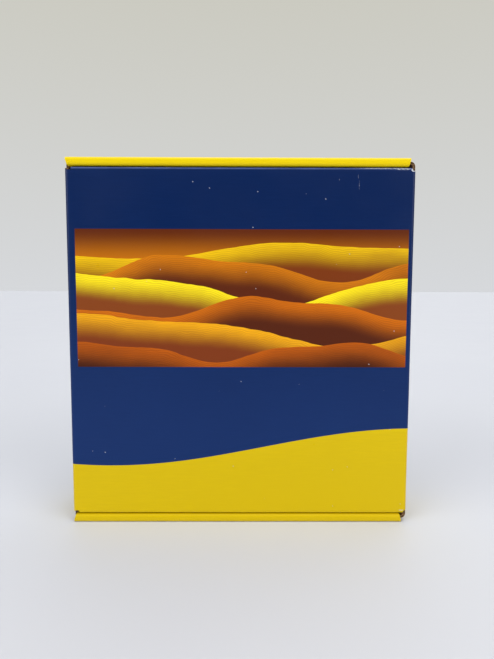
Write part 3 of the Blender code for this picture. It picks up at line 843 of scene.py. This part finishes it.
# Tray
tray = {
    "rightStart": 0.0024,   # the right wall and its corner tabs start this far behind the front
    "tabRadius": 0.0035,    # wide bend of the right wall's corner tabs
    "tabLength": 0.055,
    "rollShort": 0.0032,    # the roll stops this far from the right wall's outside
    "lockWidth": 0.030,
    "lockSpacing": 0.140,
    "lockPlay": 0.0005,
    "lockRecess": 0.0002,
    "endSlot": 1,           # the end walls' ink among the tray's materials
}
rollPlay = (carton["spine"] - 3 * carton["board"]) / 2
tabLevel = halfZ - carton["board"] - rollPlay
rightWallTop = tabLevel - tray["tabRadius"]
leftWallTop = tabLevel - carton["fold"]
rollRight = halfX - tray["rollShort"]


def lockEdges():
    middles = (-tray["lockSpacing"] / 2, tray["lockSpacing"] / 2)
    return [(middle - tray["lockWidth"] / 2, middle + tray["lockWidth"] / 2) for middle in middles]


def backPanel(bm):
    flatPanel(bm, (-halfX, creaseX), (0, creaseZ), halfY)
    score(bm, "X", [-creaseX, rollRight] + [side for sides in lockEdges() for side in sides])
    inner = halfZ - carton["spine"]
    levels = (inner - tray["lockPlay"], inner + carton["board"] + tray["lockPlay"])
    score(bm, "Z", [rightWallTop, leftWallTop, leftWallTop + carton["slit"], hingeTop, *levels])
    punchOut(bm, X=(-halfX, -creaseX), Z=(0, leftWallTop + carton["slit"]))
    punchOut(bm, X=(rollRight, halfX), Z=(rightWallTop, halfZ))
    for sides in lockEdges():
        punchOut(bm, X=sides, Z=levels)
        for side, push in zip(sides, (-tray["lockPlay"], tray["lockPlay"])):
            for vert in bm.verts:
                if within(vert.co, {"X": (side, side), "Z": levels}):
                    vert.co.x += push


def sideWall(bm, side, top, front, tabRadius):
    # one side wall with its upper corner tab. Returns the wall's front rim
    edge = side * creaseX
    rim = freeEdges(bm, X=(edge, edge), Z=(0, top))
    rim = fold(bm, rim, (edge, creaseY, 0), "Z", -90 * side)
    rim = reach(bm, rim, (0, front - creaseY, 0), "Z")
    root = freeEdges(bm, X=(side * halfX,) * 2, Y=(front, creaseY), Z=(top, top))
    bend = fold(bm, root, (side * (halfX - tabRadius), 0, top), "Y", -90 * side)
    tip = reach(bm, bend, (-side * tray["tabLength"], 0, 0), "Y", (0, -carton["cornerCut"] / 2))
    roundCorners(bm, tip, "Y", carton["cornerCut"])
    return rim


def rolledEnd(bm):
    # outer panel, spine and inner panel of the upper end, with its lock tabs. The spine and its two folds
    # take in a third of the roll's slant each
    slant = [-(carton["board"] + carton["touch"]) / 3] * 2
    rim = freeEdges(bm, Z=(creaseZ, creaseZ), X=(-halfX, rollRight))
    rim = fold(bm, rim, (0, creaseY, creaseZ), "X", 90)
    rim = reach(bm, rim, (0, -2 * creaseY, 0), "X")
    rim = fold(bm, rim, (0, -creaseY, creaseZ), "X", 90, slant)
    rim = reach(bm, rim, (0, 0, 2 * carton["fold"] - carton["spine"]), "X", slant)
    rim = fold(bm, rim, (0, -creaseY, halfZ - carton["spine"] + carton["fold"]), "X", 90, slant)
    innerEnd = halfY - carton["board"] - tray["lockPlay"]
    rim = reach(bm, rim, (0, innerEnd + creaseY, 0), "X", [3 * side for side in slant])
    for sides in lockEdges():
        tab = edgesWithin(rim, X=sides)
        reach(bm, tab, (0, carton["board"] + tray["lockPlay"] - tray["lockRecess"], 0), "X")


def trayBoard(materials):
    bm = bmesh.new()
    backPanel(bm)
    sideWall(bm, -1, leftWallTop, tuckPath()["wallStart"] - halfY, carton["fold"])
    rim = sideWall(bm, 1, rightWallTop, tray["rightStart"] - halfY, tray["tabRadius"])
    reach(bm, edgesWithin(rim, Z=(0, hingeTop)), (0, carton["fold"] - tray["rightStart"], 0), "Z")
    walls = set(bm.faces)
    rolledEnd(bm)
    for face in bm.faces:
        if face not in walls:
            face.material_index = tray["endSlot"]
    wholeBoard(bm, inkCount=2)
    return putTogether(bm, "tray_board", "tray", materials, ["tray"])


# Lid
lid = {
    "flapStart": 0.0044,    # where a dust flap's crease starts, from the left side
    "flapTaper": 0.009,
    "flapClear": 0.001,     # between the dust flaps and the insert
    "horn": 0.0014,         # the tuck crease's ends stand out by this much
    "tuckMargin": 0.0004,
    "tuckTurn": 150,        # degrees of the first of the tuck's two creases
}
insertLow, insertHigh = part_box("insert")
flapDepth = insertLow.y + halfY - lid["flapClear"]
tuckSlack = carton["board"] + flapDepth ** 2 / (4 * halfX) + lid["tuckMargin"]


def tuckPath():
    # where the tuck's creases put the board, from the carton's left side and printed front, and where the
    # left wall can start behind them
    turn = math.radians(lid["tuckTurn"])
    radius, small = carton["fold"], carton["reverseFold"]
    slant = Vector((-math.cos(turn), math.sin(turn)))
    firstEnd = Vector((radius * (1 - math.sin(turn)), radius * (1 - math.cos(turn))))
    second = Vector((small - slant.y * small, slant.x * small))
    length = (tuckSlack - firstEnd.x - second.x) / slant.x
    behindWall = firstEnd.y + (carton["board"] - firstEnd.x) / slant.x * slant.y
    return {
        "slant": slant,
        "length": length,
        "tuckStart": firstEnd + slant * length + second,
        "wallStart": behindWall + carton["touch"],
    }


def dustFlap(bm):
    top = lidTop - carton["fold"]
    rim = freeEdges(bm, X=(lid["flapStart"] - halfX, halfX), Z=(top, top))
    rim = fold(bm, rim, (0, -creaseY, top), "X", -90, (0, -carton["hingeRelief"]))
    rim = reach(bm, rim, (0, lid["flapTaper"], 0), "X", (-lid["flapTaper"], -lid["flapTaper"] / 2))
    rim = reach(bm, rim, (0, flapDepth - carton["fold"] - lid["flapTaper"], 0), "X")
    roundCorners(bm, rim, "X", carton["cornerCut"])


def tuckFlap(bm):
    path = tuckPath()
    rim = freeEdges(bm, X=(-creaseX,) * 2, Z=(0, lidTop))
    centre = Vector((-creaseX, -creaseY, 0))
    rim = fold(bm, rim, centre, "Z", -90, (0, lid["horn"]))
    rim = fold(bm, rim, centre, "Z", 90 - lid["tuckTurn"], (0, -2 * lid["horn"]))
    rim = reach(bm, rim, (*path["slant"] * path["length"], 0), "Z", (0, -lid["flapStart"]))
    start = path["tuckStart"]
    centre = Vector((start.x - carton["reverseFold"] - halfX, start.y - halfY, 0))
    rim = fold(bm, rim, centre, "Z", lid["tuckTurn"] - 90)
    rim = reach(bm, rim, (0, flapDepth - start.y, 0), "Z", (0, -lid["flapTaper"]))
    roundCorners(bm, rim, "Z", carton["cornerCut"])


def lidBoard(materials):
    bm = bmesh.new()
    flatPanel(bm, (-creaseX, creaseX), (0, lidTop - carton["fold"]), -halfY)
    score(bm, "X", [lid["flapStart"] - halfX])
    dustFlap(bm)
    tuckFlap(bm)
    wholeBoard(bm)
    return putTogether(bm, "lid_board", "lid", materials, ["lid"])


# Fold between the right wall and the lid: the board pressed thin along its crease
hinge = {
    "board": 0.0007,
    "steps": 12,
}


def hingeFold(materials):
    bm = bmesh.new()
    ends = [bm.verts.new((halfX, -creaseY, z)) for z in (-hingeTop, hingeTop)]
    bm.edges.new(ends)
    score(bm, "Z", cellLines(halfZ))
    relief = (carton["hingeRelief"],) * 2
    fold(bm, bm.edges[:], (creaseX, -creaseY, 0), "Z", -90, relief, hinge["steps"])
    faceOutwards(bm)
    sag(bm)
    thicken(bm, hinge["board"])
    smoothFaces(bm, carton["sharpest"])
    piece = putTogether(bm, "hinge_fold", None, materials)
    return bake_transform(piece)


# Cage
cage = {
    "wire": 0.0026,
    "web": 0.0830,          # middle of the saddle wires that the winding lies on
    "tip": 0.0890,          # outer ends of the saddle wires
    "saddles": 6,
    "firstSaddle": 90,      # degrees from the right, at the top
    "bend": 0.0026,
    "bendSteps": 6,
    "hoopInset": 0.003,
    "hoopSink": 0.0014,
    "hoopSteps": 192,
    "dip": 0.010,
    "dipWidth": 0.034,
    "dipSteps": 32,
    "sides": 20,
    "chamfer": (0.25, 0.72),        # length and end size of a wire's chamfer, of its radius
    "bead": (0.62, 0.775, 0.3844),   # half sizes of a weld, of the wire
    "beadFacets": 3,
    "hangerSink": 0.3,              # the hanger's welds sit this far in from the hoop's middle, of the wire
    "sharpest": 40,
}
cageLow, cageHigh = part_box("cage")
cageY = (cageLow.y + cageHigh.y) / 2
legY = (cageHigh.y - cageLow.y - cage["wire"]) / 2
hoopY = legY - cage["hoopInset"]
hoopRadius = cage["web"] - cage["hoopSink"]


def onCircle(radius, degrees, y):
    angle = math.radians(degrees)
    return Vector((radius * math.cos(angle), y, radius * math.sin(angle)))


def capEnd(bm, rim, direction, radius):
    # closes a wire's end with a small chamfer
    length, size = cage["chamfer"]
    verts, tip = grow(bm, rim)
    middle = sum((vert.co for vert in verts), Vector()) / len(verts)
    for vert in verts:
        vert.co = middle + (vert.co - middle) * size
    for vert in vertsOf(rim):
        vert.co -= direction * radius * length
    bmesh.ops.contextual_create(bm, geom=tip)


def layWire(bm, points, radius, sides, closed=False):
    # a round wire along points, swept from one circle by extrusion
    count = len(points)
    runs = [(points[(i + 1) % count] - points[i - 1]).normalized() for i in range(count)]
    if not closed:
        runs[0] = (points[1] - points[0]).normalized()
        runs[-1] = (points[-1] - points[-2]).normalized()
    turn = axes["Z"].rotation_difference(runs[0]).to_matrix().to_4x4()
    place = Matrix.Translation(points[0]) @ turn
    ring = bmesh.ops.create_circle(bm, cap_ends=False, radius=radius, segments=sides, matrix=place)["verts"]
    first = rim = edgesAmong(bm.edges, ring)
    for i in range(1, count):
        verts, rim = grow(bm, rim)
        bend = runs[i - 1].rotation_difference(runs[i]).to_matrix().to_4x4()
        step = Matrix.Translation(points[i]) @ bend @ Matrix.Translation(-points[i - 1])
        bmesh.ops.transform(bm, matrix=step, verts=verts)
    if closed:
        bmesh.ops.bridge_loops(bm, edges=first + rim)
    else:
        capEnd(bm, first, -runs[0], radius)
        capEnd(bm, rim, runs[-1], radius)


def saddleRun(degrees):
    # a saddle wire's middle: out at one tip, in along the web and out at the other tip
    section = [(cage["tip"], legY)]
    for step in range(cage["bendSteps"] + 1):
        angle = math.pi / 2 * step / cage["bendSteps"]
        across = cage["web"] + cage["bend"] * (1 - math.sin(angle))
        section.append((across, legY - cage["bend"] * (1 - math.cos(angle))))
    section += [(radius, -y) for radius, y in reversed(section)]
    return [onCircle(radius, degrees, cageY + y) for radius, y in section]


def hangerRun():
    # the wire across the cage, with a dip in its middle to hang it by
    y = cageY - hoopY
    run = [Vector((-hoopRadius, y, 0))]
    for step in range(cage["dipSteps"] + 1):
        share = step / cage["dipSteps"]
        dip = cage["dip"] * (1 - math.cos(math.tau * share)) / 2
        run.append(Vector(((share - 0.5) * cage["dipWidth"], y + dip, 0)))
    return run + [Vector((hoopRadius, y, 0))]


def weld(bm, place, outward):
    # the flattened bead where two wires are pressed and fused together
    turn = axes["Z"].rotation_difference(outward).to_matrix().to_4x4()
    shape = Matrix.Translation(place) @ turn @ Matrix.Diagonal((*cage["bead"], 1))
    bmesh.ops.create_icosphere(bm, subdivisions=cage["beadFacets"], radius=cage["wire"], matrix=shape)


def cageWire(material):
    bm = bmesh.new()
    radius, sides = cage["wire"] / 2, cage["sides"]
    for side in (-1, 1):
        y = cageY + side * hoopY
        turns = [onCircle(hoopRadius, 360 * k / cage["hoopSteps"], y) for k in range(cage["hoopSteps"])]
        layWire(bm, turns, radius, sides, closed=True)
    for number in range(cage["saddles"]):
        degrees = 360 * number / cage["saddles"] + cage["firstSaddle"]
        layWire(bm, saddleRun(degrees), radius, sides)
        for side in (-1, 1):
            seat = onCircle(cage["web"] - radius, degrees, cageY + side * hoopY)
            weld(bm, seat, onCircle(1, degrees, 0))
    layWire(bm, hangerRun(), radius, sides)
    for side in (-1, 1):
        across = side * (hoopRadius - cage["wire"] * cage["hangerSink"])
        weld(bm, Vector((across, cageY - hoopY, 0)), axes["X"] * side)
    bmesh.ops.recalc_face_normals(bm, faces=bm.faces[:])
    smoothFaces(bm, cage["sharpest"])
    return putTogether(bm, "cage_wire", "tray", [material], ["cage"])


# Insert
insert = {
    "relief": 0.004,        # its legs end this far from its corners
    "fit": 0.0004,          # between the cage and the round window
    "finger": 0.014,        # half-round finger cuts beside the window
    "windowSteps": 480,
}
windowRadius = cage["tip"] + insert["fit"]


def windowReach(angle):
    # from the window's middle to its edge, which widens at the finger cuts
    off = abs(windowRadius * math.sin(angle))
    if off >= insert["finger"]:
        return windowRadius
    far = windowRadius * abs(math.cos(angle)) + math.sqrt(insert["finger"] ** 2 - off ** 2)
    return max(windowRadius, far)


def windowFrame(bm, flatX, flatZ):
    # the flat board between the window's edge and the folds, drawn outwards from the window
    inner = bmesh.ops.create_circle(bm, cap_ends=False, radius=1, segments=insert["windowSteps"])["verts"]
    outer, _ = grow(bm, bm.edges[:])
    for vert in outer:
        across, up = vert.co.xy / max(abs(vert.co.x), abs(vert.co.y))
        vert.co = (across * flatX, insertLow.y, up * flatZ)
    for vert in inner:
        angle = math.atan2(vert.co.y, vert.co.x)
        vert.co = onCircle(windowReach(angle), math.degrees(angle), insertLow.y)


def insertLeg(bm, along, across, side, halfLong, halfAcross):
    edge = side * (halfAcross - carton["fold"])
    limit = halfLong - carton["fold"] - insert["relief"]
    rim = freeEdges(bm, **{across: (edge, edge), along: (-limit, limit)})
    centre = axes[across] * edge + axes["Y"] * (insertLow.y + carton["fold"])
    rim = fold(bm, rim, centre, along, 90 * side if along == "Z" else -90 * side)
    reach(bm, rim, (0, insertHigh.y - insertLow.y - carton["fold"], 0), along)


def insertBoard(materials):
    bm = bmesh.new()
    spanX, spanZ = insertHigh.x, (insertHigh.z - insertLow.z) / 2
    flatX, flatZ = spanX - carton["fold"], spanZ - carton["fold"]
    windowFrame(bm, flatX, flatZ)
    score(bm, "X", [insert["relief"] - flatX, flatX - insert["relief"]])
    score(bm, "Z", [insert["relief"] - flatZ, flatZ - insert["relief"]])
    for side in (-1, 1):
        insertLeg(bm, "Z", "X", side, spanZ, spanX)
        insertLeg(bm, "X", "Z", side, spanX, spanZ)
    faceOutwards(bm, (0, halfY, 0))
    thicken(bm, carton["board"])
    smoothFaces(bm, carton["sharpest"])
    return putTogether(bm, "insert_board", "tray", materials, ["insert"])


# Winding
winding = {
    "turn": 0.00045,        # outer diameter of the capillary
    "steps": 180,
    "arc": 4,               # straight runs over a turn's outside
    "wander": 0.00006,
    "wanderScale": (9, 0.7),    # of the unevenness, for a metre around and for a turn across
    "lead": 19,             # degrees from a seal to where its end of the capillary joins the turns
    "leadSink": 0.0001,
    "leadAside": 0.0012,
    "leadSteps": 30,
    "leadSides": 10,
}
coilLow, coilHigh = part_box("coil")
coilInner = cage["web"] + cage["wire"] / 2 + carton["touch"]


def spinOutline(bm, points, along, steps, closed=False):
    # turns an outline once around an axis
    verts = [bm.verts.new(point) for point in points]
    pairs = zip(verts, verts[1:] + verts[:1]) if closed else zip(verts, verts[1:])
    rim = [bm.edges.new(pair) for pair in pairs]
    bmesh.ops.spin(
        bm, geom=verts + rim, cent=(0, 0, 0), axis=axes[along], angle=math.tau,
        steps=steps, use_merge=True, use_duplicate=False,
    )


def turnedRows(start, end, outward, count):
    # the outline over a row of turns that lie side by side, from start to end
    points = []
    along = (end - start) / count
    for row in range(count):
        centre = start + along * (row + 0.5)
        for step in range(winding["arc"]):
            angle = math.pi * (step + 0.5) / winding["arc"]
            bulge = outward * along.length / 2 * math.sin(angle)
            points.append(centre - along / 2 * math.cos(angle) + bulge)
    return points


def wanderInwards(bm, middle):
    # lets the outer turns lie a little lower in places, and the inner ones a little higher
    around, across = winding["wanderScale"]
    for vert in bm.verts:
        x, y, z = vert.co
        push = noise.noise(Vector((x * around, y / winding["turn"] * across, z * around)))
        radial = Vector((x, 0, z))
        inwards = 1 if radial.length > middle else -1
        vert.co -= radial.normalized() * inwards * winding["wander"] * (0.5 + 0.5 * push)


def leadRun(degrees):
    # one end of the capillary, from inside a seal's base to the inside of the turns
    first = degrees + math.degrees((seal["length"] / 2 - 2 * seal["dish"]) / sealReach)
    run = []
    for step in range(winding["leadSteps"] + 1):
        share = step / winding["leadSteps"]
        rise = share * share * (3 - 2 * share)
        radius = sealReach + (coilInner + winding["leadSink"] - sealReach) * rise
        y = cageY + winding["leadAside"] * rise
        run.append(onCircle(radius, first + share * winding["lead"], y))
    return run


def windingTurns(material):
    bm = bmesh.new()
    inset = winding["turn"] / 2
    low, high = coilLow.y + inset, coilHigh.y - inset
    inner, outer = coilInner + inset, coilHigh.x - inset
    corners = [Vector((outer, low)), Vector((outer, high)), Vector((inner, high)), Vector((inner, low))]
    outline = []
    for corner, after in zip(corners, corners[1:] + corners[:1]):
        outward = Vector((after.y - corner.y, corner.x - after.x)).normalized()
        count = max(1, round((after - corner).length / winding["turn"]))
        outline += turnedRows(corner, after, outward, count)
    spinOutline(bm, [(radius, y, 0) for radius, y in outline], "Y", winding["steps"], closed=True)
    wanderInwards(bm, (inner + outer) / 2)
    for degrees in seal["angles"]:
        layWire(bm, leadRun(degrees), winding["turn"] / 2, winding["leadSides"])
    bmesh.ops.recalc_face_normals(bm, faces=bm.faces[:])
    smoothFaces(bm)
    return putTogether(bm, "winding", "tray", [material], ["coil"])


# End seals
seal = {
    "angles": (62, 118),    # degrees from the right
    "radius": 0.0040,
    "length": 0.0090,
    "dish": 0.0007,         # depth of the hollow around the capillary
    "dishFloor": (0.0011, 0.8),     # its radius, and how much of the depth it still has there
    "dishRim": 0.0014,
    "chamfer": 0.0003,
    "rib": 0.00022,
    "ribHalf": 0.0005,
    "ribSteps": 4,
    "ribs": (-0.0022, 0.0004),      # their middles
    "nose": 0.0011,
    "noseSteps": 6,
    "tip": 0.0012,
    "sides": 48,
    "sharpest": 50,
}
sealReach = coilInner - carton["touch"] - seal["radius"]


def sealOutline():
    # from the middle of the hollow base, over two moulded ribs, to the middle of the rounded tip
    base, tip = -seal["length"] / 2, seal["length"] / 2
    side, nose = seal["radius"] - seal["rib"], seal["nose"]
    floorRadius, floorShare = seal["dishFloor"]
    outline = [(0, base + seal["dish"]), (floorRadius, base + seal["dish"] * floorShare)]
    outline += [(seal["dishRim"], base), (seal["radius"] - seal["chamfer"], base)]
    outline.append((side, base + seal["chamfer"]))
    for middle in seal["ribs"]:
        for step in range(seal["ribSteps"] + 1):
            angle = math.pi * step / seal["ribSteps"]
            across = side + seal["rib"] * math.sin(angle)
            outline.append((across, middle - seal["ribHalf"] * math.cos(angle)))
    for step in range(seal["noseSteps"] + 1):
        angle = math.pi / 2 * step / seal["noseSteps"]
        outline.append((side - nose * (1 - math.cos(angle)), tip - nose * (1 - math.sin(angle))))
    return outline + [(seal["tip"], tip), (0, tip)]


def endSeal(number, degrees, material):
    bm = bmesh.new()
    spinOutline(bm, [(across, 0, up) for across, up in sealOutline()], "Z", seal["sides"])
    bmesh.ops.remove_doubles(bm, verts=bm.verts[:], dist=tolerance["place"])
    bmesh.ops.recalc_face_normals(bm, faces=bm.faces[:])
    along = Matrix.Rotation(math.radians(180 - degrees), 4, "Y")
    place = Matrix.Translation(onCircle(sealReach, degrees, cageY)) @ along
    bmesh.ops.transform(bm, matrix=place, verts=bm.verts[:])
    smoothFaces(bm, seal["sharpest"])
    return putTogether(bm, f"seal_{number}", "tray", [material], [f"end_seal_{number}"])


# Floor
def makeFloor(material):
    bm = bmesh.new()
    cells = ground["cells"]
    bmesh.ops.create_grid(bm, x_segments=cells, y_segments=cells, size=ground["size"] / 2)
    bmesh.ops.translate(bm, verts=bm.verts[:], vec=(0, 0, trayLow.z))
    mesh = bpy.data.meshes.new("floor")
    bm.to_mesh(mesh)
    bm.free()
    mesh.materials.append(material)
    floor = addObject("floor", mesh)


makeCamera()
makeLights()
print("camera and lights are in place")
brownSide = brownLiner("brown_liner", 0.0)
cutEdge = rawEdge()
lidInk = lidPrint()
wallInk = wallPrint()
endInk = endPrint()
print("board materials are mixed")
trayBoard([wallInk, endInk, brownSide, cutEdge])
lidBoard([lidInk, brownSide, cutEdge])
hingeFold([lidInk, brownSide, cutEdge])
print("tray, lid and their fold are made")
plainBoard = brownLiner("insert_liner", 0.12)
insertBoard([plainBoard, brownSide, cutEdge])
print("insert is made")
cageWire(drawnSteel())
windingTurns(amberSilica())
sealRubber = mouldedRubber()
for number, degrees in enumerate(seal["angles"], 1):
    endSeal(number, degrees, sealRubber)
print("cage, winding and seals are made")
makeFloor(floorSheet())
